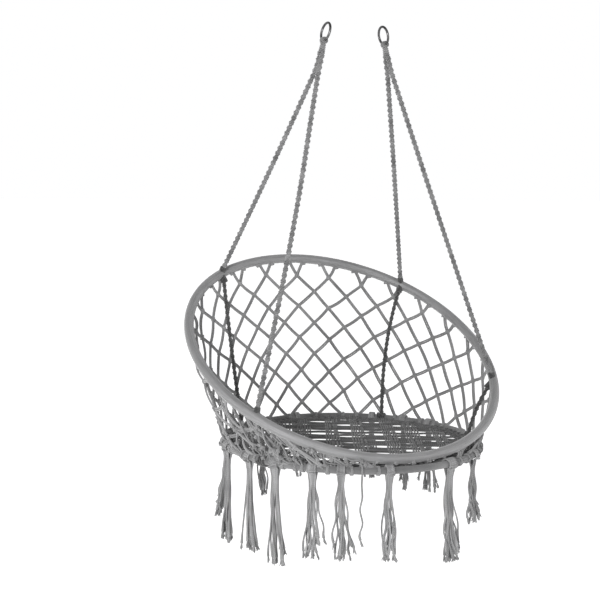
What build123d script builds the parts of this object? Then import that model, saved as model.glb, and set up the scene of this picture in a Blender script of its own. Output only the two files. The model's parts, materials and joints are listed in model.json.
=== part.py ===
from build123d import *
import os
from math import cos, radians, sin

# Round macrame hanging seat: two steel rings on top, four ropes, a sleeved hoop,
# a knotted net down to a smaller ring, a woven seat and a fringe of tassels.
# Millimetres. The origin is midway between the two top rings, with +Z up. The open side
# faces -Y, and left and right are as seen from there, so right is +X.

# Top rings and the rope that holds them
RING_SPACING = 162.0
RING_RADIUS = 22.0
RING_WIRE_RADIUS = 3.0
RING_LEAN = 12.0
LOOP_CLEARANCE = 1.5
LOOP_CORD_RADIUS = 3.0
COLLAR_RADIUS = 10.0
COLLAR_LENGTH = 22.0

# Upper hoop, tilted up towards the back
HOOP_RADIUS = 400.0
HOOP_TUBE_RADIUS = 9.5
HOOP_TUBE_WALL = 1.0
SLEEVE_INNER_RADIUS = 9.7
SLEEVE_OUTER_RADIUS = 12.0
HOOP_TILT = 31.0
HOOP_CENTRE_Y = 18.0
HOOP_CENTRE_Z = -787.0

# Seat ring, level
SEAT_RADIUS = 318.0
SEAT_TUBE_RADIUS = 6.0
SEAT_TUBE_WALL = 1.5
WRAP_INNER_RADIUS = 6.2
WRAP_OUTER_RADIUS = 8.5
SEAT_CENTRE_Y = -33.0
SEAT_CENTRE_Z = -1012.0
WEAVE_THICKNESS = 8.0
WEAVE_TOP = 2.0

# Ropes and cords, tied at these angles from +X, first on the hoop and then on the seat ring
ROPE_RADIUS = 6.0
ROPE_SPREAD = 6.6
LOWER_CORD_RADIUS = 5.0
LOWER_CORD_INSET = 8.0
TIE_ANGLES = {
    "front_left": (214.0, 201.0),
    "front_right": (337.0, 347.5),
    "back_left": (123.5, 128.5),
    "back_right": (41.5, 46.0),
}
HOOP_BINDING_RADIUS = 19.0
SEAT_BINDING_RADIUS = 15.0
BINDING_ARC_LENGTH = 24.0
ROPE_END_DEPTH = 16.0
CORD_END_DEPTH = 12.0
FIT_GAP = 0.3

# Net between the rings
NET_THICKNESS = 2.0

# Tassels, each on a loop round the seat ring: the angle from +X, the length and the fullness
TASSELS = (
    (20.0, 195.0, 1.0),
    (34.5, 205.0, 1.0),
    (51.0, 180.0, 1.0),
    (89.5, 175.0, 1.0),
    (110.5, 210.0, 1.0),
    (162.0, 190.0, 1.0),
    (170.5, 245.0, 1.0),
    (192.0, 240.0, 1.0),
    (207.5, 252.0, 1.0),
    (225.0, 222.0, 1.0),
    (237.0, 222.0, 1.0),
    (245.5, 215.0, 0.5),
    (257.0, 222.0, 1.0),
    (287.5, 245.0, 1.0),
    (308.5, 175.0, 1.0),
)
TASSEL_LOOP_CLEARANCE = 0.9
TASSEL_CORD_RADIUS = 1.8
TASSEL_ROOT_RADIUS = 3.0
TASSEL_SHOULDER = (6.0, 16.0)
TASSEL_NECK = (8.0, 36.0)
TASSEL_TIP_RADIUS = 16.0
TASSEL_NOTCH = 7.0

hoop_normal = Vector(0, -sin(radians(HOOP_TILT)), cos(radians(HOOP_TILT)))
hoop_plane = Plane((0, HOOP_CENTRE_Y, HOOP_CENTRE_Z), x_dir=(1, 0, 0), z_dir=hoop_normal)
seat_plane = Plane((0, SEAT_CENTRE_Y, SEAT_CENTRE_Z), x_dir=(1, 0, 0), z_dir=(0, 0, 1))
hoop_axis = Axis(hoop_plane.origin, hoop_plane.z_dir)
seat_axis = Axis(seat_plane.origin, seat_plane.z_dir)

os.makedirs("parts", exist_ok=True)


def save(piece, name):
    """Label a finished piece and write it as its own STEP file."""
    piece.part.label = name
    export_step(piece.part, f"parts/{name}.step")


def ring_point(plane, radius, angle):
    """A point on a circle that lies in a plane, at an angle from the plane's X."""
    local = Vector(radius * cos(radians(angle)), radius * sin(radians(angle)), 0)
    return plane.from_local_coords(local)


def section_plane(plane, radius, angle):
    """The plane that cuts a ring square across, with its X outwards and its Y down."""
    point = ring_point(plane, radius, angle)
    outward = (point - plane.origin).normalized()
    return Plane(point, x_dir=outward, z_dir=plane.z_dir.cross(outward))


def ring_shell(plane, radius, outer, inner):
    """A round tube bent into a full ring."""
    with BuildPart(plane) as shell:
        Torus(radius, outer)
        Torus(radius, inner, mode=Mode.SUBTRACT)
    return shell


def arc_degrees(radius, length):
    """The angle that an arc of this length takes up on a ring."""
    return length / radians(radius)


def binding_plane(plane, radius, angle):
    """The section plane at the start of a binding centred on an angle."""
    return section_plane(plane, radius, angle - arc_degrees(radius, BINDING_ARC_LENGTH) / 2)


def binding(plane, radius, axis, angle, outer, inner):
    """A knot's wraps round a ring, as a short bent sleeve."""
    with BuildPart() as wraps:
        with BuildSketch(binding_plane(plane, radius, angle)):
            Circle(outer)
            Circle(inner, mode=Mode.SUBTRACT)
        revolve(axis=axis, revolution_arc=arc_degrees(radius, BINDING_ARC_LENGTH))
    return wraps


def rod(start, end, radius):
    """A straight round cord between two points."""
    with BuildPart() as cord:
        with BuildSketch(Plane(start, z_dir=end - start)):
            Circle(radius)
        extrude(amount=(end - start).length)
    return cord


# Top rings, with the rope loop and its collar below each
collar_ends = {}
for side, sign in (("left", -1), ("right", 1)):
    ring_up = Vector(-sign * sin(radians(RING_LEAN)), 0, cos(radians(RING_LEAN)))
    ring_centre = Vector(sign * RING_SPACING / 2, 0, 0)
    wire_bottom = ring_centre - ring_up * RING_RADIUS
    loop_radius = RING_WIRE_RADIUS + LOOP_CLEARANCE + LOOP_CORD_RADIUS

    with BuildPart(Plane(ring_centre, x_dir=(0, 1, 0), z_dir=ring_up.cross(Vector(0, 1, 0)))) as top_ring:
        Torus(RING_RADIUS, RING_WIRE_RADIUS)
    save(top_ring, f"top_ring_{side}")

    with BuildPart(Plane(wire_bottom, x_dir=(1, 0, 0), z_dir=(0, 1, 0))) as rope_loop:
        Torus(loop_radius, LOOP_CORD_RADIUS)
    save(rope_loop, f"rope_loop_{side}")

    collar_start = wire_bottom - ring_up * loop_radius
    collar_ends[side] = collar_start - ring_up * COLLAR_LENGTH
    collar = rod(collar_start, collar_ends[side], COLLAR_RADIUS)
    save(collar, f"rope_collar_{side}")

# Hoop: steel tube inside a cloth sleeve
hoop_tube = ring_shell(hoop_plane, HOOP_RADIUS, HOOP_TUBE_RADIUS, HOOP_TUBE_RADIUS - HOOP_TUBE_WALL)
save(hoop_tube, "hoop_tube")
hoop_sleeve = ring_shell(hoop_plane, HOOP_RADIUS, SLEEVE_OUTER_RADIUS, SLEEVE_INNER_RADIUS)
save(hoop_sleeve, "hoop_sleeve")

# Seat ring: steel tube under a cord wrap
seat_ring_tube = ring_shell(seat_plane, SEAT_RADIUS, SEAT_TUBE_RADIUS, SEAT_TUBE_RADIUS - SEAT_TUBE_WALL)
save(seat_ring_tube, "seat_ring_tube")
seat_ring_wrap = ring_shell(seat_plane, SEAT_RADIUS, WRAP_OUTER_RADIUS, WRAP_INNER_RADIUS)
save(seat_ring_wrap, "seat_ring_wrap")

# Ropes from the collars to the hoop, cords from the hoop to the seat ring, and their knots
for name, (hoop_angle, seat_angle) in TIE_ANGLES.items():
    side = name.split("_")[1]
    towards_front = -1 if name.startswith("front") else 1
    hoop_tie = ring_point(hoop_plane, HOOP_RADIUS, hoop_angle)
    seat_tie = ring_point(seat_plane, SEAT_RADIUS, seat_angle)

    rope_top = collar_ends[side] + Vector(0, towards_front * ROPE_SPREAD, 0)
    rope_way = (rope_top - hoop_tie).normalized()
    rope = rod(rope_top, hoop_tie + rope_way * ROPE_END_DEPTH, ROPE_RADIUS)
    save(rope, f"suspension_rope_{name}")
    print(f"suspension_rope_{name}", "length", round((rope_top - hoop_tie).length, 1))

    inset = (seat_plane.origin - seat_tie).normalized() * LOWER_CORD_INSET
    cord_way = (seat_tie - hoop_tie).normalized()
    cord_top = hoop_tie + cord_way * ROPE_END_DEPTH + inset
    cord_bottom = seat_tie - cord_way * CORD_END_DEPTH + inset
    lower_cord = rod(cord_top, cord_bottom, LOWER_CORD_RADIUS)
    save(lower_cord, f"lower_cord_{name}")
    print(f"lower_cord_{name}", "length", round((cord_bottom - cord_top).length, 1))

    hoop_knot = binding(
        hoop_plane, HOOP_RADIUS, hoop_axis, hoop_angle, HOOP_BINDING_RADIUS, SLEEVE_OUTER_RADIUS + FIT_GAP
    )
    save(hoop_knot, f"hoop_knot_{name}")
    seat_knot = binding(
        seat_plane, SEAT_RADIUS, seat_axis, seat_angle, SEAT_BINDING_RADIUS, WRAP_OUTER_RADIUS + FIT_GAP
    )
    save(seat_knot, f"seat_knot_{name}")

tassel_loop_radius = WRAP_OUTER_RADIUS + TASSEL_LOOP_CLEARANCE + TASSEL_CORD_RADIUS
notch_depth = tassel_loop_radius + TASSEL_CORD_RADIUS + TASSEL_LOOP_CLEARANCE

# Net, a thin wall from hoop to seat ring, cut back clear of both rings and their knots
with BuildPart() as net_wall:
    for change, mode in ((NET_THICKNESS / 2, Mode.ADD), (-NET_THICKNESS / 2, Mode.SUBTRACT)):
        with BuildSketch(hoop_plane):
            Circle(HOOP_RADIUS + change)
        with BuildSketch(seat_plane):
            Circle(SEAT_RADIUS + change)
        loft(mode=mode)
    for plane, radius, knot in (
        (hoop_plane, HOOP_RADIUS, HOOP_BINDING_RADIUS),
        (seat_plane, SEAT_RADIUS, SEAT_BINDING_RADIUS),
    ):
        with BuildSketch(plane.offset(-knot - FIT_GAP)):
            Circle(radius + knot + FIT_GAP)
            Circle(radius - knot - FIT_GAP, mode=Mode.SUBTRACT)
        extrude(amount=2 * (knot + FIT_GAP), mode=Mode.SUBTRACT)
with BuildPart() as net:
    add(net_wall.part.solids().sort_by(SortBy.VOLUME)[-1])
save(net, "net")

# Woven seat, notched for the knots and the tassels' loops
with BuildPart() as seat_weave:
    with BuildSketch(seat_plane.offset(WEAVE_TOP)):
        Circle(SEAT_RADIUS - WRAP_OUTER_RADIUS - FIT_GAP)
        for angle, length, fullness in TASSELS:
            with PolarLocations(SEAT_RADIUS, 1, start_angle=angle):
                Rectangle(2 * notch_depth, TASSEL_NOTCH, mode=Mode.SUBTRACT)
    extrude(amount=-WEAVE_THICKNESS)
    for hoop_angle, seat_angle in TIE_ANGLES.values():
        with BuildSketch(binding_plane(seat_plane, SEAT_RADIUS, seat_angle)):
            Circle(SEAT_BINDING_RADIUS + FIT_GAP)
        revolve(
            axis=seat_axis,
            revolution_arc=arc_degrees(SEAT_RADIUS, BINDING_ARC_LENGTH),
            mode=Mode.SUBTRACT,
        )
save(seat_weave, "seat_weave")

# Tassels: a loop round the seat ring and a flared skirt of cords that hangs from it
for index, (angle, length, fullness) in enumerate(TASSELS, start=1):
    section = section_plane(seat_plane, SEAT_RADIUS, angle)
    with BuildPart(section) as tassel:
        Torus(tassel_loop_radius, TASSEL_CORD_RADIUS)
        with BuildSketch(section):
            with BuildLine():
                Polyline(
                    (0, tassel_loop_radius),
                    (TASSEL_ROOT_RADIUS, tassel_loop_radius),
                    (TASSEL_SHOULDER[0] * fullness, TASSEL_SHOULDER[1]),
                    (TASSEL_NECK[0] * fullness, TASSEL_NECK[1]),
                    (TASSEL_TIP_RADIUS * fullness, length),
                    (0, length),
                    close=True,
                )
            make_face()
        revolve(axis=Axis(section.origin, seat_plane.z_dir))
    save(tassel, f"tassel_{index:02d}")
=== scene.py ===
import json
from math import asin, atan2, cos, degrees, hypot, pi, radians, sin

import bpy
import numpy as np
from mathutils import Matrix, Vector


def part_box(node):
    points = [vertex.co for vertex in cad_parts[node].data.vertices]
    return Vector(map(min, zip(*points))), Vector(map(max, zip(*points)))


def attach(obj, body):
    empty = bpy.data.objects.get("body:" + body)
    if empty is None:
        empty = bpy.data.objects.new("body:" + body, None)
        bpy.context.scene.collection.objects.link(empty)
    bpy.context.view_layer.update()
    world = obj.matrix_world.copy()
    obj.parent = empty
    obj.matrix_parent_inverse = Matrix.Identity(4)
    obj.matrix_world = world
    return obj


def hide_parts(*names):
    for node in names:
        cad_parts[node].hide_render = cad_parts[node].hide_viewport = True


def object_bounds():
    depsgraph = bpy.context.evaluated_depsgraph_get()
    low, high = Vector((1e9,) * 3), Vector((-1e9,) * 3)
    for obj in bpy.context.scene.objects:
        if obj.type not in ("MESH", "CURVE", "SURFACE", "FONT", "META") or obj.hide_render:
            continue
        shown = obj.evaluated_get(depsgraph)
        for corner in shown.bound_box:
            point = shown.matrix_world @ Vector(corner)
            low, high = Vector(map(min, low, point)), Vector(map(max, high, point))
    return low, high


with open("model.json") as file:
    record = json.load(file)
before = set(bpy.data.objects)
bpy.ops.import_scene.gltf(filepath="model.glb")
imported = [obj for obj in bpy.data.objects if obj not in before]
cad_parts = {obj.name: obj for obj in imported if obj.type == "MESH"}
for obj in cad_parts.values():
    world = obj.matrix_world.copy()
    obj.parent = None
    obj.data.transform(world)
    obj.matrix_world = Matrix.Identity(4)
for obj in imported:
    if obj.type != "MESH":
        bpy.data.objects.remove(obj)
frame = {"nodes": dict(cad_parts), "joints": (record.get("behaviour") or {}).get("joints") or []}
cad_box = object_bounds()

# Round hanging seat: ropes, sleeved hoop, knotted net, woven seat and tassels.
# Metres. Left and right are as seen from the open side, which faces -Y.

SIDES = ("left", "right")
TIES = ("front_left", "front_right", "back_left", "back_right")

# Sizes that the CAD gives its pieces
SLEEVE_RADIUS = 0.012
WRAP_RADIUS = 0.0085
RING_WIRE_RADIUS = 0.003

# Routes of the eight hanging cords. In the CAD each is one straight rod, which ends close to the
# first and last points here. The points between bend the cord off that rod.
ROPE_ROUTES = {
    "front_left": [
        (-0.0917, -0.0066, -0.0504),
        (-0.1000, -0.0080, -0.0850),
        (-0.1136, -0.0178, -0.1331),
        (-0.2068, -0.0948, -0.5006),
        (-0.3274, -0.1708, -0.8871),
    ],
    "front_right": [
        (0.0917, -0.0066, -0.0504),
        (0.1000, -0.0080, -0.0850),
        (0.1158, -0.0144, -0.1311),
        (0.2353, -0.0610, -0.4833),
        (0.3631, -0.1140, -0.8525),
    ],
    "back_left": [
        (-0.0917, 0.0066, -0.0504),
        (-0.0990, 0.0070, -0.0850),
        (-0.1085, 0.0302, -0.1263),
        (-0.1618, 0.1518, -0.3577),
        (-0.2176, 0.2966, -0.6013),
    ],
    "back_right": [
        (0.0917, 0.0066, -0.0504),
        (0.0990, 0.0070, -0.0850),
        (0.1147, 0.0256, -0.1291),
        (0.2004, 0.1233, -0.3752),
        (0.2947, 0.2396, -0.6363),
    ],
}
LOWER_ROUTES = {
    "front_left": [
        (-0.3195, -0.1670, -0.9171),
        (-0.3100, -0.1590, -0.9590),
        (-0.2929, -0.1468, -1.0009),
    ],
    "front_right": [
        (0.3545, -0.1128, -0.8823),
        (0.3230, -0.1020, -0.9380),
        (0.3071, -0.1012, -1.0009),
    ],
    "back_left": [
        (-0.2155, 0.2938, -0.6308),
        (-0.2080, 0.2570, -0.8150),
        (-0.1937, 0.2122, -1.0003),
    ],
    "back_right": [
        (0.2903, 0.2376, -0.6660),
        (0.2330, 0.2260, -0.8100),
        (0.2179, 0.1916, -1.0004),
    ],
}


class Ring:
    """A round tube in a plane that leans up towards +Y, measured from its CAD node."""

    def __init__(self, node, thickness):
        low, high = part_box(node)
        self.centre = np.array((low + high) / 2)
        self.radius = (high.x - low.x) / 2 - thickness
        self.lean = asin(((high.z - low.z) / 2 - thickness) / self.radius)
        self.normal = np.array((0.0, -sin(self.lean), cos(self.lean)))

    def outward(self, angle):
        """The direction from the middle to an angle from +X, in degrees."""
        a = np.radians(angle)
        return np.stack([np.cos(a), np.sin(a) * cos(self.lean), np.sin(a) * sin(self.lean)], -1)

    def tangent(self, angle):
        return self.outward(np.asarray(angle) + 90.0)

    def point(self, angle, out=0.0, up=0.0):
        """A point by angle, moved outwards from the tube's line and along the plane's normal."""
        out = np.asarray(out)[..., None]
        up = np.asarray(up)[..., None]
        return self.centre + self.outward(angle) * (self.radius + out) + self.normal * up


hoop = Ring("hoop_sleeve", SLEEVE_RADIUS)
seat = Ring("seat_ring_wrap", WRAP_RADIUS)


def angle_on(ring, node):
    """The angle at which a knot's CAD node sits on its ring."""
    low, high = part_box(node)
    x, y, z = np.array((low + high) / 2) - ring.centre
    return degrees(atan2(hypot(y, z) * (1 if y > 0 else -1), x)) % 360


tassel_joints = [j for j in frame["joints"] if j["name"].startswith("tassel")]


def tassel_angle(joint):
    x, y, z = np.array(joint["pos_m"]) - seat.centre
    return degrees(atan2(y, x)) % 360


# Camera
def place_camera():
    """The viewpoint: from the front left and a little above the seat."""
    azimuth, elevation, roll = radians(-26.634), radians(6.119), radians(1.132)
    target = Vector((-0.3618, -0.4492, -0.6008))
    back = Vector((sin(azimuth) * cos(elevation), -cos(azimuth) * cos(elevation), sin(elevation)))
    camera = bpy.data.objects.new("camera", bpy.data.cameras.new("camera"))
    bpy.context.collection.objects.link(camera)
    camera.location = target + back * 2.632
    turn = back.to_track_quat("Z", "Y") @ Matrix.Rotation(roll, 4, "Z").to_quaternion()
    camera.rotation_mode = "QUATERNION"
    camera.rotation_quaternion = turn
    camera.data.sensor_width = 36.0
    camera.data.lens = 76.32
    bpy.context.scene.camera = camera


# Mesh building
def unit(v):
    return v / np.linalg.norm(v, axis=-1, keepdims=True)


def frames_along(line, closed=False):
    """Tangent and two cross directions along a line, carried along it with no twist."""
    if closed:
        tangent = unit(np.roll(line, -1, 0) - np.roll(line, 1, 0))
    else:
        tangent = unit(np.gradient(line, axis=0))
    side = np.empty_like(line)
    start = np.array((0.0, 0.0, 1.0)) if abs(tangent[0, 2]) < 0.8 else np.array((1.0, 0.0, 0.0))
    carried = np.cross(tangent[0], start)
    for i, t in enumerate(tangent):
        carried = carried - t * carried.dot(t)
        carried = carried / np.sqrt(carried.dot(carried))
        side[i] = carried
    if closed:
        off = side[0] - tangent[-1] * side[0].dot(tangent[-1])
        miss = atan2(np.cross(side[-1], off).dot(tangent[-1]), side[-1].dot(off))
        twist = np.linspace(0, miss, len(line))[:, None]
        side = side * np.cos(twist) + np.cross(tangent, side) * np.sin(twist)
    return tangent, side, np.cross(tangent, side)


def spaced(line, count):
    """count points evenly spaced along a line."""
    far = np.concatenate([[0], np.cumsum(np.linalg.norm(np.diff(line, axis=0), axis=1))])
    at = np.linspace(0, far[-1], count)
    return np.stack([np.interp(at, far, line[:, i]) for i in range(3)], 1)


def smooth(points, count):
    """count points on a smooth curve through hand-set points (Catmull-Rom)."""
    p = np.asarray(points, float)
    p = np.vstack([2 * p[0] - p[1], p, 2 * p[-1] - p[-2]])
    t = np.linspace(0, len(p) - 3 - 1e-9, count)
    i = t.astype(int)
    f = (t - i)[:, None]
    a, b, c, d = p[i], p[i + 1], p[i + 2], p[i + 3]
    return 0.5 * (2 * b + (c - a) * f + (2 * a - 5 * b + 4 * c - d) * f**2 + (3 * b - a - 3 * c + d) * f**3)


class Cords:
    """Round cords gathered into one mesh. Its UV map runs along each cord in metres, and round it."""

    def __init__(self):
        self.points, self.quads, self.quad_lay = [], [], []
        self.caps, self.cap_lay = [], []
        self.count, self.laid = 0, 0.0

    def add(self, line, radius, sides=6, closed=False):
        line = np.asarray(line, float)
        rows = len(line)
        _, side, up = frames_along(line, closed)
        around = np.arange(sides) * 2 * pi / sides
        ring = side[:, None] * np.cos(around)[None, :, None] + up[:, None] * np.sin(around)[None, :, None]
        wide = np.broadcast_to(np.asarray(radius, float), (rows,))[:, None, None]
        self.points.append((line[:, None] + ring * wide).reshape(-1, 3))
        i = np.arange(rows if closed else rows - 1)[:, None] * sides
        j = np.arange(sides)[None]
        k = (j + 1) % sides
        n = (i + sides) % (rows * sides)
        self.quads.append(np.stack([i + j, i + k, n + k, n + j], -1).reshape(-1, 4) + self.count)
        steps = np.linalg.norm(np.diff(line, axis=0, append=line[:1]), axis=1)
        far = self.laid + np.concatenate([[0], np.cumsum(steps)])
        self.laid = far[-1]
        a, b = far[: len(i)][:, None], far[1 : len(i) + 1][:, None]
        u = np.stack([a + 0 * j, a + 0 * j, b + 0 * j, b + 0 * j], -1)
        v = np.stack([j + 0 * a, j + 1 + 0 * a, j + 1 + 0 * a, j + 0 * a], -1) / sides
        self.quad_lay.append(np.stack([u, v], -1).reshape(-1, 2))
        if not closed:
            first, last = self.count, self.count + (rows - 1) * sides
            self.caps.append([first + s for s in range(sides)][::-1])
            self.caps.append([last + s for s in range(sides)])
            self.cap_lay += [(0.0, 0.0)] * (2 * sides)
        self.count += rows * sides

    def surface(self, grid):
        """A grid of points (rows, columns, 3), closed both ways, with the same kind of UV map."""
        rows, cols = grid.shape[:2]
        i = np.arange(rows)[:, None]
        j = np.arange(cols)[None]
        a = i * cols + j
        b = i * cols + (j + 1) % cols
        c = ((i + 1) % rows) * cols + (j + 1) % cols
        d = ((i + 1) % rows) * cols + j
        self.points.append(grid.reshape(-1, 3))
        self.quads.append(np.stack([a, b, c, d], -1).reshape(-1, 4) + self.count)
        step = np.linalg.norm(grid[1, 0] - grid[0, 0])
        u = np.stack([i + 0 * j, i + 0 * j, i + 1 + 0 * j, i + 1 + 0 * j], -1) * step
        v = np.stack([j + 0 * i, j + 1 + 0 * i, j + 1 + 0 * i, j + 0 * i], -1) / cols
        self.quad_lay.append(np.stack([u, v], -1).reshape(-1, 2))
        self.count += rows * cols

    def build(self, name, material, slot, body):
        mesh = bpy.data.meshes.new(name)
        quads = np.concatenate(self.quads)
        mesh.from_pydata(np.concatenate(self.points).tolist(), [], quads.tolist() + self.caps)
        mesh.polygons.foreach_set("use_smooth", np.ones(len(mesh.polygons), bool))
        lay = np.concatenate([*self.quad_lay, np.reshape(self.cap_lay, (-1, 2))])
        mesh.uv_layers.new(name="lay").data.foreach_set("uv", lay.ravel())
        mesh.materials.append(material)
        piece = bpy.data.objects.new(name, mesh)
        bpy.context.collection.objects.link(piece)
        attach(piece, body)
        return piece


def spline_points(route, count):
    """Points read along the smooth NURBS curve of a given route."""
    curve = bpy.data.curves.new("route", "CURVE")
    curve.dimensions = "3D"
    spline = curve.splines.new("NURBS")
    spline.points.add(len(route) - 1)
    for point, place in zip(spline.points, route):
        point.co = (*place, 1.0)
    spline.order_u = 3
    spline.use_endpoint_u = True
    spline.resolution_u = 24
    holder = bpy.data.objects.new("route", curve)
    line = bpy.data.meshes.new_from_object(holder)
    points = np.array([v.co for v in line.vertices])
    bpy.data.objects.remove(holder)
    bpy.data.meshes.remove(line)
    bpy.data.curves.remove(curve)
    return spaced(points, count)


def spiral_rope(cords, path, wide, thin, cord_radius, lay, knot, phase=0.0, sides=6):
    """Knotted rope: a cord laid round a flat core, whose flat turns half over in each knot length."""
    length = np.linalg.norm(np.diff(path, axis=0), axis=1).sum()
    dense = spaced(path, 200)
    _, side, up = frames_along(dense)
    at = np.arange(0, length, lay / 12)
    share = at / length * (len(dense) - 1)
    low = np.minimum(share.astype(int), len(dense) - 2)
    f = (share - low)[:, None]
    centre = dense[low] * (1 - f) + dense[low + 1] * f
    turn = 2 * pi * at / lay
    flat = pi * at / knot + phase
    x = wide * np.cos(turn) * np.cos(flat) - thin * np.sin(turn) * np.sin(flat)
    y = wide * np.cos(turn) * np.sin(flat) + thin * np.sin(turn) * np.cos(flat)
    cords.add(centre + side[low] * x[:, None] + up[low] * y[:, None], cord_radius, sides)


def coil(
    cords, centre, axis, out, radius, cord_radius, turns, pitch, squash=1.0, sides=6, steps=14, start=0.0
):
    """Turns of cord round an axis, squashed along the third direction."""
    axis = unit(np.asarray(axis, float))
    out = unit(out - axis * np.dot(out, axis))
    third = np.cross(axis, out)
    t = np.linspace(0, turns, max(int(turns * steps), 6))
    a = 2 * pi * t + start
    line = (
        centre
        + np.outer(np.cos(a), out) * radius
        + np.outer(np.sin(a), third) * radius * squash
        + np.outer((t - turns / 2) * pitch, axis)
    )
    cords.add(line, cord_radius, sides)


# Materials
def new_material(name):
    material = bpy.data.materials.new(name)
    material.use_nodes = True
    tree = material.node_tree
    shader = tree.nodes["Principled BSDF"]
    return material, tree, shader


def node(tree, kind, **values):
    made = tree.nodes.new(kind)
    for key, value in values.items():
        setattr(made, key, value)
    return made


def math_node(tree, operation, a, b=None):
    made = node(tree, "ShaderNodeMath", operation=operation)
    for socket, value in zip(made.inputs, (a, b)):
        if value is None:
            continue
        if isinstance(value, (int, float)):
            socket.default_value = value
        else:
            tree.links.new(value, socket)
    return made.outputs[0]


def ramp(tree, factor, stops):
    made = node(tree, "ShaderNodeValToRGB")
    elements = made.color_ramp.elements
    while len(elements) < len(stops):
        elements.new(0.5)
    for element, (place, grey) in zip(elements, stops):
        element.position = place
        element.color = (grey, grey, grey * 1.01, 1.0)
    tree.links.new(factor, made.inputs[0])
    return made.outputs[0]


def noise(tree, vector, scale, detail=3.0, roughness=0.55):
    made = node(tree, "ShaderNodeTexNoise")
    made.inputs["Scale"].default_value = scale
    made.inputs["Detail"].default_value = detail
    made.inputs["Roughness"].default_value = roughness
    tree.links.new(vector, made.inputs["Vector"])
    return made.outputs["Fac"]


def bump(tree, shader, height, strength, distance):
    made = node(tree, "ShaderNodeBump")
    made.inputs["Strength"].default_value = strength
    made.inputs["Distance"].default_value = distance
    tree.links.new(height, made.inputs["Height"])
    tree.links.new(made.outputs["Normal"], shader.inputs["Normal"])


def cord_material(name, dark, light, twist=0.007, strands=3, patch=24.0):
    """Twisted cotton cord: slanting strands with painted shade in the grooves between them, loose fibres and
    uneven dye.
    """
    material, tree, shader = new_material(name)
    place = node(tree, "ShaderNodeTexCoord").outputs["Object"]
    lay = node(tree, "ShaderNodeUVMap", uv_map="lay").outputs["UV"]
    split = node(tree, "ShaderNodeSeparateXYZ")
    tree.links.new(lay, split.inputs[0])
    along = math_node(tree, "MULTIPLY", split.outputs["X"], 2 * pi / twist)
    around = math_node(tree, "MULTIPLY", split.outputs["Y"], 2 * pi * strands)
    wave = math_node(tree, "SINE", math_node(tree, "ADD", along, around))
    fibres = noise(tree, place, 1400.0, 2.0)
    patches = noise(tree, place, patch, 4.0)
    strand = node(tree, "ShaderNodeCombineXYZ")
    tree.links.new(split.outputs["X"], strand.inputs["X"])
    tone = noise(tree, strand.outputs[0], 7.0, 1.0)
    # The strand wave darkens the colour where the bump is low, in the grooves between strands: painted shade.
    painted_groove_shade = math_node(tree, "MULTIPLY", wave, 0.09)
    mixed = math_node(tree, "ADD", painted_groove_shade, math_node(tree, "MULTIPLY", patches, 0.35))
    mixed = math_node(tree, "ADD", mixed, math_node(tree, "MULTIPLY", tone, 0.75))
    mixed = math_node(tree, "ADD", mixed, math_node(tree, "MULTIPLY", fibres, 0.3))
    colour = ramp(tree, mixed, [(0.5, dark), (0.9, light)])
    tree.links.new(colour, shader.inputs["Base Color"])
    shader.inputs["Roughness"].default_value = 0.86
    shader.inputs["Specular IOR Level"].default_value = 0.25
    shader.inputs["Sheen Weight"].default_value = 0.25
    shader.inputs["Sheen Roughness"].default_value = 0.6
    height = math_node(tree, "ADD", wave, math_node(tree, "MULTIPLY", fibres, 0.8))
    bump(tree, shader, height, 0.5, 0.0006)
    return material


def sleeve_material():
    """Tight woven polyester sleeve with fine pleats along its length."""
    material, tree, shader = new_material("sleeve_cloth")
    place = node(tree, "ShaderNodeTexCoord").outputs["Object"]
    lay = node(tree, "ShaderNodeUVMap", uv_map="lay").outputs["UV"]
    stretched = node(tree, "ShaderNodeMapping")
    stretched.inputs["Scale"].default_value = (14.0, 30.0, 1.0)
    tree.links.new(lay, stretched.inputs["Vector"])
    streaks = noise(tree, stretched.outputs["Vector"], 1.0, 4.0, 0.6)
    weave = node(tree, "ShaderNodeTexVoronoi")
    weave.inputs["Scale"].default_value = 1500.0
    tree.links.new(place, weave.inputs["Vector"])
    mixed = math_node(tree, "ADD", streaks, math_node(tree, "MULTIPLY", weave.outputs["Distance"], 0.18))
    colour = ramp(tree, mixed, [(0.35, 0.09), (0.85, 0.17)])
    tree.links.new(colour, shader.inputs["Base Color"])
    shader.inputs["Roughness"].default_value = 0.5
    shader.inputs["Sheen Weight"].default_value = 0.3
    shader.inputs["Sheen Roughness"].default_value = 0.45
    height = math_node(tree, "ADD", streaks, math_node(tree, "MULTIPLY", weave.outputs["Distance"], 0.25))
    bump(tree, shader, height, 0.6, 0.0015)
    return material


def steel_material():
    """Dark plated steel with fine brushing."""
    material, tree, shader = new_material("ring_steel")
    place = node(tree, "ShaderNodeTexCoord").outputs["Object"]
    stretched = node(tree, "ShaderNodeMapping")
    stretched.inputs["Scale"].default_value = (900.0, 900.0, 120.0)
    tree.links.new(place, stretched.inputs["Vector"])
    brushing = noise(tree, stretched.outputs["Vector"], 1.0, 3.0)
    wear = noise(tree, place, 90.0, 4.0)
    tree.links.new(ramp(tree, wear, [(0.35, 0.05), (0.75, 0.16)]), shader.inputs["Base Color"])
    tree.links.new(ramp(tree, brushing, [(0.3, 0.28), (0.8, 0.48)]), shader.inputs["Roughness"])
    shader.inputs["Metallic"].default_value = 1.0
    bump(tree, shader, brushing, 0.15, 0.0002)
    return material


rope_cloth = cord_material("rope", 0.042, 0.145)
# Near-black cord: painted shade for the shadows in and under the knots. The lower cords use it too.
painted_shade_knot_cloth = cord_material("knot_cord_painted_shade", 0.008, 0.03)
net_cloth = cord_material("net_cord", 0.085, 0.20, twist=0.0045)
seat_cloth = cord_material("seat_cord", 0.018, 0.055, twist=0.005)
wrap_cloth = cord_material("seat_wrap", 0.045, 0.115, twist=0.0026, strands=1)
slack_cloth = cord_material("slack_cord", 0.06, 0.20, twist=0.0045)
tassel_cloth = cord_material("tassel_cord", 0.06, 0.22, twist=0.005)
sleeve_cloth = sleeve_material()
ring_steel = steel_material()

place_camera()

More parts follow.
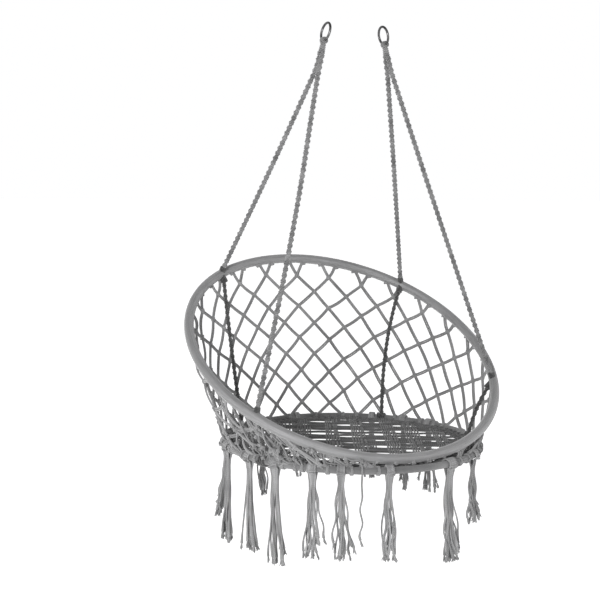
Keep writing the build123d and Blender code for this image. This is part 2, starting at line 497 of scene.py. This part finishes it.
# The eight hanging cords: flat knotted ropes, half width and half thickness first
ROPE_SHAPE = {"wide": 0.0047, "thin": 0.0019, "cord_radius": 0.0028, "lay": 0.0048, "knot": 0.0145}
LOWER_SHAPE = {"wide": 0.0041, "thin": 0.0020, "cord_radius": 0.0024, "lay": 0.0044, "knot": 0.0145}
for name in TIES:
    rope = Cords()
    path = spline_points(ROPE_ROUTES[name], 240)
    spiral_rope(rope, path, **ROPE_SHAPE, phase=TIES.index(name) * 0.8)
    piece = rope.build(f"rope_{name}", rope_cloth, "rope", "chair")
    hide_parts(f"suspension_rope_{name}")

    lower = Cords()
    path = spline_points(LOWER_ROUTES[name], 120)
    spiral_rope(lower, path, **LOWER_SHAPE, phase=TIES.index(name) * 1.1)
    piece = lower.build(f"cord_{name}", painted_shade_knot_cloth, "cord", "chair")
    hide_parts(f"lower_cord_{name}")

# Top rings and hitches: coils round the ring on a fill that hides its wire, then close wraps below.
# The fill runs through the ring's wire on purpose.
HITCH_CORD = 0.0022
HITCH_FILL = 0.0050
COLLAR_CORD = 0.0025
COLLAR_WRAPS = 5
COLLAR_REACH = 0.024
for side in SIDES:
    ring = frame["nodes"][f"top_ring_{side}"]
    ring.data.materials.clear()
    ring.data.materials.append(ring_steel)
    low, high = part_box(f"top_ring_{side}")
    centre = np.array((low + high) / 2)
    sign = -1 if side == "left" else 1
    ring_radius = (high.y - low.y) / 2 - RING_WIRE_RADIUS
    ring_lean = asin(((high.x - low.x) / 2 - RING_WIRE_RADIUS) / ring_radius)
    ring_up = np.array((-sign * sin(ring_lean), 0.0, cos(ring_lean)))
    across = np.array((0.0, 1.0, 0.0))
    hitch = Cords()
    for turn in (-13.0, 0.0, 13.0):
        down = ring_up * cos(radians(turn)) + across * sin(radians(turn))
        along = np.cross(down, np.cross(ring_up, across))
        coil(hitch, centre - down * ring_radius, along, down, 0.0069, HITCH_CORD, 1.0, 0.0)
    under = np.radians(np.linspace(-20, 20, 13))
    bottom = centre - ring_radius * (np.outer(np.cos(under), ring_up) + np.outer(np.sin(under), across))
    hitch.add(bottom, HITCH_FILL)
    start = centre - ring_up * (ring_radius + 0.0078)
    wraps = np.arange(0, 1, 1 / (COLLAR_WRAPS * 14))
    turn = 2 * pi * wraps * COLLAR_WRAPS
    neck = 0.0052 + 0.0018 * wraps
    third = np.cross(ring_up, across)
    line = (
        start
        - np.outer(wraps * COLLAR_REACH, ring_up)
        + np.outer(np.cos(turn) * (neck + 0.0014), across)
        + np.outer(np.sin(turn) * neck * 0.85, third)
    )
    hitch.add(line, COLLAR_CORD)
    piece = hitch.build(f"hitch_{side}", rope_cloth, "rope", "chair")
    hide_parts(f"rope_loop_{side}", f"rope_collar_{side}")

def tube_skin(ring, turn, around, wide):
    """A skin round a ring's tube, wide from its line at each angle along and around it."""
    grid = (
        ring.point(turn)[:, None]
        + ring.outward(turn)[:, None] * (wide * np.cos(around))[..., None]
        + ring.normal * (wide * np.sin(around))[..., None]
    )
    skin = Cords()
    skin.surface(grid[:, ::-1])
    return skin


# Hoop sleeve: a tube of cloth with pleats along it and a sewn edge below
turn = np.arange(540) * 360.0 / 540
around = np.arange(32) * 2 * pi / 32
rng = np.random.default_rng(4)
pleats = np.zeros((540, 32))
for count in range(14):
    where = rng.uniform(0, 2 * pi)
    drift = rng.uniform(-0.5, 0.5) * np.sin(np.radians(turn) * rng.integers(1, 4) + rng.uniform(0, 6))
    middle = rng.uniform(0, 360)
    reach = rng.uniform(20, 70)
    away = (turn - middle + 180) % 360 - 180
    strength = np.exp(-((away / reach) ** 2)) * rng.uniform(-0.0007, 0.0006)
    gap = (around[None] - (where + drift)[:, None] + pi) % (2 * pi) - pi
    pleats += strength[:, None] * np.exp(-((gap / 0.28) ** 2))
edge = (around[None] - radians(235) + pi) % (2 * pi) - pi
pleats += 0.0008 * np.exp(-((edge / 0.16) ** 2)) * (1 + 0.3 * np.sin(np.radians(turn) * 150))[:, None]
wide = SLEEVE_RADIUS - 0.0001 + pleats
sleeve = tube_skin(hoop, turn, around, wide)
piece = sleeve.build("hoop_cover", sleeve_cloth, "sleeve_cloth", "chair")
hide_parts("hoop_sleeve", "hoop_tube")

# Seat ring, wrapped close with fine cord
turn = np.arange(480) * 360.0 / 480
around = np.arange(20) * 2 * pi / 20
rng = np.random.default_rng(8)
uneven = rng.normal(0, 0.00012, (480, 20))
wide = WRAP_RADIUS - 0.0001 + uneven
wrap = tube_skin(seat, turn, around, wide)
piece = wrap.build("seat_ring_cord", wrap_cloth, "cord", "chair")
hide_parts("seat_ring_wrap", "seat_ring_tube")

# Knots of the four ropes: at the sleeve, where they pass through it, and round the seat ring. Their
# near-black cord is painted shade.
for name in TIES:
    angle = angle_on(hoop, f"hoop_knot_{name}")
    tie = hoop.point(angle)
    inward = seat.centre - tie
    knot = Cords()
    for route, at, size, turns in ((ROPE_ROUTES, -1, 0.0062, 3.2), (LOWER_ROUTES, 0, 0.0072, 4.2)):
        place = np.array(route[name][at])
        way = unit(place - tie)
        middle = tie + way * (SLEEVE_RADIUS + 0.0045)
        coil(knot, middle, way, inward, size, 0.0030, turns, 0.0038, squash=0.8, steps=20)
        coil(knot, middle, unit(way + unit(inward) * 0.8), inward, size * 0.9, 0.0028, 1.6, 0.0040, steps=20)
    piece = knot.build(f"hoop_knot_cord_{name}", painted_shade_knot_cloth, "cord", "chair")
    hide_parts(f"hoop_knot_{name}")

    angle = angle_on(seat, f"seat_knot_{name}")
    middle, along, outward = seat.point(angle), seat.tangent(angle), seat.outward(angle)
    knot = Cords()
    coil(knot, middle, along, outward, WRAP_RADIUS + 0.0030, 0.0029, 3.9, 0.0061, steps=22)
    piece = knot.build(f"seat_knot_cord_{name}", painted_shade_knot_cloth, "cord", "chair")
    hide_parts(f"seat_knot_{name}")

# Net
NET_COLUMNS = 26
NET_TURN = 3.0
HALF_CELL = 180.0 / NET_COLUMNS
FIRST_ROW = 0.0445
ROW_STEP = 0.0437
NET_CORD = 0.0024
SHORT_FALL = 0.06
rng = np.random.default_rng(11)


def fall_length(angle):
    return np.linalg.norm(hoop.point(angle) - seat.point(angle))


def slackness(angle):
    """How loose and crowded the net is: 0 at the back, 1 at the front left."""
    front = max(0.0, -sin(radians(angle)))
    left = max(0.0, cos(radians(angle - 215)))
    return min(1.0, 0.25 * front + 0.9 * left**4)


def net_out(angle):
    """Square out from the net."""
    down = seat.point(angle) - hoop.point(angle)
    return unit(np.cross(hoop.tangent(angle), down))


net_nodes = {}
for half in range(2 * NET_COLUMNS):
    angle = half * HALF_CELL + NET_TURN
    length = fall_length(angle)
    loose = slackness(angle)
    row = 1 + half % 2
    while True:
        step = ROW_STEP * (1 - 0.35 * loose)
        far = FIRST_ROW + step * (row - 1)
        if far > length - 0.024:
            break
        fall = far / length
        place = hoop.point(angle) * (1 - fall) + seat.point(angle) * fall
        bulge = (0.002 - 0.010 * loose) * sin(pi * fall)
        shake = rng.normal(0, 1, 3) * (0.0016 + 0.006 * loose)
        net_nodes[half, row] = place + net_out(angle) * bulge + shake
        row += 2

tassel_angles = [tassel_angle(j) for j in tassel_joints]


def clear_of_tassels(angle, room=4.2):
    """A tie's angle on the seat ring, moved along if a tassel hangs there."""
    for taken in tassel_angles:
        off = (angle - taken + 180) % 360 - 180
        if abs(off) < room:
            angle = taken + (room if off >= 0 else -room)
    return angle


net = Cords()
tie_angles = set()
for column in range(NET_COLUMNS):
    if fall_length(2 * column * HALF_CELL + NET_TURN) < SHORT_FALL and column % 3:
        continue
    for way in (1, -1):
        half, row = 2 * column, 1
        head = half * HALF_CELL - way * HALF_CELL / 2 + NET_TURN
        aim = unit(net_nodes.get((half, 1), seat.point(half * HALF_CELL + NET_TURN)) - hoop.point(head))
        line = [hoop.point(head) + aim * (SLEEVE_RADIUS - 0.001)]
        while (half % (2 * NET_COLUMNS), row) in net_nodes:
            line.append(net_nodes[half % (2 * NET_COLUMNS), row])
            half, row = half + way, row + 1
        tie = clear_of_tassels(half * HALF_CELL + NET_TURN)
        tie_angles.add(round(tie % 360, 3))
        arrive = unit(line[-1] - seat.point(tie))
        line.append(seat.point(tie) + arrive * (WRAP_RADIUS + 0.0012))
        line = np.array(line)
        loose = slackness(half * HALF_CELL + NET_TURN)
        fine = []
        for start, stop in zip(line[:-1], line[1:]):
            t = np.arange(6)[:, None] / 6
            sag = rng.normal(0, 1, 3) * (0.0008 + 0.006 * loose)
            sag[2] -= 0.0012 + 0.004 * loose
            fine.append(start * (1 - t) + stop * t + sag * np.sin(pi * t))
        fine = np.vstack([*fine, line[-1:]])
        forward = unit(np.gradient(fine, axis=0))
        level = fine - seat.centre * (1, 1, 0)
        outward = np.array([net_out(degrees(atan2(p[1], p[0])) % 360) for p in level])
        across = unit(np.cross(forward, outward))
        phase = np.arange(len(fine)) % 6 / 6
        bow = np.repeat(rng.uniform(0.0, 0.0005 + 0.003 * loose, len(line)), 6)[: len(fine)]
        apart = 0.0020 + bow * np.sin(pi * phase)
        for hand in (-1, 1):
            net.add(fine + across * (hand * apart)[:, None], NET_CORD, 5)

for (half, row), place in net_nodes.items():
    angle = half * HALF_CELL + NET_TURN
    down = seat.point(angle) - hoop.point(angle) + rng.normal(0, 0.03, 3)
    side = np.cross(net_out(angle), down)
    start = rng.uniform(0, 6)
    coil(net, place, down, side, 0.0052, 0.0022, 2.6, 0.0036, squash=0.72, sides=5, steps=10, start=start)

# Knots where the cords leave the sleeve, and ties on the seat ring
for head in np.arange(2 * NET_COLUMNS) * HALF_CELL + HALF_CELL / 2 + NET_TURN:
    along = hoop.tangent(head)
    down = unit(seat.point(head) - hoop.point(head))
    middle = hoop.point(head) + down * (SLEEVE_RADIUS + 0.0010)
    coil(net, middle, down, along, 0.0036, NET_CORD, 2.0, 0.0030, squash=0.7, sides=5, steps=12)
for tie in sorted(tie_angles):
    along, outward = seat.tangent(tie), seat.outward(tie)
    coil(net, seat.point(tie), along, outward, WRAP_RADIUS + 0.0019, 0.0016, 2.6, 0.0031, sides=5, steps=14)
piece = net.build("net_cords", net_cloth, "net_cord", "chair")
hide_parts("net")

# Loose, tangled cords of the slack net at the front left
slack = Cords()
rng = np.random.default_rng(23)
for count in range(34):
    start = rng.uniform(196, 246)
    end = clear_of_tassels(start + rng.uniform(-9, 9))
    top = hoop.point(start)
    foot = seat.point(end)
    room = np.linalg.norm(foot - top)
    route = [top + unit(foot - top) * (SLEEVE_RADIUS - 0.001)]
    for share in (0.35, 0.62, 0.84):
        wander = np.clip(rng.normal(0, 1, 3), -1.6, 1.6) * min(0.07 * room, 0.007)
        route.append(top * (1 - share) + foot * share - net_out(start) * rng.uniform(-0.002, 0.009) + wander)
    arrive = unit(route[-1] - foot)
    route.append(foot + arrive * (WRAP_RADIUS + 0.0015))
    slack.add(smooth(route, 26), rng.uniform(0.0015, 0.0022), 5)
    for lump in rng.choice((1, 2, 3), 2, replace=False):
        way, out = unit(route[lump + 1] - route[lump - 1]), net_out(start)
        coil(slack, route[lump], way, out, 0.0040, 0.0019, 2.2, 0.0032, squash=0.8, sides=5, steps=10)
slack.build("slack_net_cords", slack_cloth, "net_cord", "chair")

# Seat: a dense rim tied to the ring, and crossed bands inside
weave = Cords()
rng = np.random.default_rng(31)
RIM_CORD = 0.0022
RIM_OUTER = 0.0118
RIM_AT_TASSEL = 0.0180
fine_turn = np.arange(360) * 1.0
nearest = np.min([np.abs((fine_turn - t + 180) % 360 - 180) for t in tassel_angles], axis=0)
open_share = np.clip((nearest - 3.4) / 1.6, 0, 1)
for index in range(7):
    inset = index * 0.0041 + RIM_AT_TASSEL - (RIM_AT_TASSEL - RIM_OUTER) * open_share * (1 - index / 7)
    lift = 0.0012 * np.cos(np.radians(fine_turn) * 60 + pi * index) - 0.0012
    waver = 0.0006 * np.sin(np.radians(fine_turn) * 9 + index)
    weave.add(seat.point(fine_turn, waver - inset, lift), RIM_CORD, 5, closed=True)
for count in range(96):
    angle = (count + 0.5) * 360.0 / 96 + rng.uniform(-0.4, 0.4)
    if min(abs((angle - t + 180) % 360 - 180) for t in tassel_angles) < 4.6:
        continue
    for off in (-0.4, 0.4):
        out = (-0.046, -0.034, -0.024, -0.016, -0.0105)
        up = (-0.001, 0.0022, -0.0010, 0.0022, 0.0020)
        weave.add(smooth([seat.point(angle + off, o, u) for o, u in zip(out, up)], 16), 0.0019, 5)

REACH = seat.radius - 0.037
ROW_STEP_SEAT = 0.036
BAND_STEP = 0.071
WEAVE_TURN = -26.0
weave_axes = (seat.outward(WEAVE_TURN), seat.outward(WEAVE_TURN + 90.0))


def seat_cord(axis, across, radius, phase, lift_step):
    """One straight cord across the seat, over and under the bands that cross it."""
    if abs(across) > REACH - 0.01:
        return
    reach = (REACH**2 - across**2) ** 0.5
    t = np.linspace(-reach, reach, max(int(reach * 2 / 0.011), 8))
    lift = 0.0011 * np.cos(2 * pi * t / lift_step + phase) - 0.0016
    waver = across + rng.normal(0, 0.0015) * np.sin(t * rng.uniform(9, 22) + rng.uniform(0, 6))
    line = np.outer(t, weave_axes[axis]) + np.outer(waver, weave_axes[1 - axis]) + np.outer(lift, seat.normal)
    weave.add(seat.centre + line, radius, 5)


for row, middle in enumerate(np.arange(-8, 9) * ROW_STEP_SEAT):
    centre = middle + rng.normal(0, 0.003)
    for index in range(rng.integers(2, 5)):
        seat_cord(0, centre + (index - 1) * 0.0052, 0.0025, pi * row, 2 * BAND_STEP)
for band, middle in enumerate(np.arange(-4, 5) * BAND_STEP + 0.018):
    centre = middle + rng.normal(0, 0.004)
    for index in range(6):
        seat_cord(1, centre + (index - 2.5) * 0.0061, 0.0026, pi * band, 2 * ROW_STEP_SEAT)
for middle in np.arange(-0.27, -0.105, 0.0068):
    seat_cord(1, middle + rng.normal(0, 0.002), 0.0025, rng.uniform(0, 6), 2 * ROW_STEP_SEAT)
piece = weave.build("woven_seat", seat_cloth, "seat_cord", "chair")
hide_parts("seat_weave")


# Tassels: folded cords looped over the seat ring, hanging to frayed ends
def fray(cords, tip, way, rng):
    """A brush of fine fibres at a cord's end."""
    for _ in range(9):
        spread = rng.normal(0, 1, 3) * 0.15
        end = tip + unit(way + spread) * rng.uniform(0.010, 0.018)
        middle = tip + way * 0.006 + spread * 0.006
        thinning = np.array([0.0016, 0.0016, 0.0014, 0.0012, 0.0009])
        cords.add(smooth([tip - way * 0.006, middle, end], 5), thinning, 4)


# Cords folded into each tassel, and how far each leans: 1 is the usual lean, less than 0 the other way
TASSEL_CORD = 0.0022
FOLDED_CORDS = (6, 5, 5, 4, 5, 10, 9, 6, 8, 7, 6, 1, 6, 9, 7)
LEANS = (1, 1, 1, 1, 1, -2.2, -0.4, 1, 1, 1, 1, 1, 1, 2.0, 1)
PITCH = 0.0029
rng = np.random.default_rng(47)
for joint, angle, folded, lean in zip(tassel_joints, tassel_angles, FOLDED_CORDS, LEANS):
    name = joint["child"]
    low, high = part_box(name)
    length = seat.centre[2] - low.z
    tassel = Cords()
    along, outward = seat.tangent(angle), seat.outward(angle)
    down = np.array((0.0, 0.0, -1.0))
    combed = np.array((0.028, -0.014, 0.0)) * rng.uniform(0.6, 1.6) * lean
    loose = 1.7 if lean < -1 else 1.0  # the one that leans furthest back is fanned wider too
    loop = WRAP_RADIUS + 0.0014 + TASSEL_CORD
    neck = seat.point(angle) + down * 0.034
    for index in range(folded):
        place = (index - (folded - 1) / 2) * PITCH
        middle = seat.point(angle) + along * place
        for hand in (-1, 1):
            if folded == 1 and hand == 1:
                continue
            spin = np.linspace(pi / 2 - hand * 0.4, pi / 2 + hand * 2.7, 19)
            over = middle + np.outer(np.cos(spin) * loop, outward) - np.outer(np.sin(spin) * loop, down)
            gathered = neck + along * place * 0.72 - outward * (hand * 0.0018 + (index % 2 - 0.5) * 0.0010)
            reach = length - 0.034 - 0.020 - rng.uniform(0.0, 0.04) * (rng.random() < 0.5)
            ways = [over[-1] + (gathered - over[-1]) * 0.5, gathered]
            sway = rng.normal(0, 1, 2) * (1.9 if rng.random() < 0.25 else 0.9)
            wave = rng.uniform(0.8, 2.2)
            start = rng.uniform(0, 6)
            for share in np.linspace(0.12, 1.0, 11):
                swing = (sin(2 * pi * wave * share + start) - sin(start)) * 0.0040 * share**0.5
                fanned = 1 + (loose - 1) * share
                spread = (place * (0.72 + 0.9 * share) + sway[0] * 0.0052 * share) * fanned + swing
                deep = -hand * 0.0018 + sway[1] * 0.004 * share + swing * 0.6
                fall = (down + combed * share) * reach * share
                ways.append(neck + fall + along * spread + outward * deep)
            line = smooth(np.vstack([over[::2], smooth(ways, 34)[::2]]), 52)
            flare = np.clip((np.arange(52) - 46) / 5, 0, 1)
            tassel.add(line, TASSEL_CORD + 0.0014 * flare, 6)
            fray(tassel, line[-1], unit(line[-1] - line[-2]), rng)
    if folded > 1:
        half = (folded - 1) / 2 * PITCH + 0.0020
        for level in (0.0000, 0.0045):
            slope = rng.normal(0, 0.0022)
            bar = [
                seat.point(angle)
                + along * x * half
                + outward * (loop + d)
                + down * (level + 0.003 + x * slope)
                for x, d in ((-1.0, -0.0015), (-0.6, 0.0031), (0.6, 0.0031), (1.0, -0.0015))
            ]
            tassel.add(smooth(bar, 12), TASSEL_CORD, 5)
    piece = tassel.build(f"{name}_cords", tassel_cloth, "tassel_cord", name)
    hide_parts(name)


# Studio
def studio():
    floor_mesh = bpy.data.meshes.new("floor")
    size, level = 30.0, cad_box[0].z - 0.12
    corners = [(-size, -size, level), (size, -size, level), (size, size, level), (-size, size, level)]
    floor_mesh.from_pydata(corners, [], [(0, 1, 2, 3)])
    floor = bpy.data.objects.new("floor", floor_mesh)
    bpy.context.collection.objects.link(floor)
    material, tree, shader = new_material("floor")
    shader.inputs["Base Color"].default_value = (0.95, 0.95, 0.95, 1.0)
    shader.inputs["Roughness"].default_value = 0.9
    shader.inputs["Emission Color"].default_value = (1.0, 1.0, 1.0, 1.0)
    shader.inputs["Emission Strength"].default_value = 0.55
    floor_mesh.materials.append(material)
    world = bpy.data.worlds.new("studio")
    world.use_nodes = True
    tree = world.node_tree
    split = node(tree, "ShaderNodeSeparateXYZ")
    tree.links.new(node(tree, "ShaderNodeTexCoord").outputs["Generated"], split.inputs[0])
    dome = ramp(tree, split.outputs["Z"], [(0.0, 1.0), (0.35, 1.0), (1.0, 0.1)])
    tree.links.new(dome, tree.nodes["Background"].inputs["Color"])
    tree.nodes["Background"].inputs["Strength"].default_value = 1.0
    bpy.context.scene.world = world
    bpy.context.scene.view_settings.view_transform = "Standard"
    for place, size, power in (
        ((-2.8, -2.9, 0.0), 0.7, 190.0),
        ((2.6, -1.6, 0.0), 1.6, 25.0),
    ):
        light = bpy.data.lights.new("soft_light", "AREA")
        light.shape = "DISK"
        light.size = size
        light.energy = power
        lamp = bpy.data.objects.new("soft_light", light)
        bpy.context.collection.objects.link(lamp)
        lamp.location = place
        aim = Vector((0, 0, -0.7)) - Vector(place)
        lamp.rotation_euler = aim.to_track_quat("-Z", "Y").to_euler()


studio()
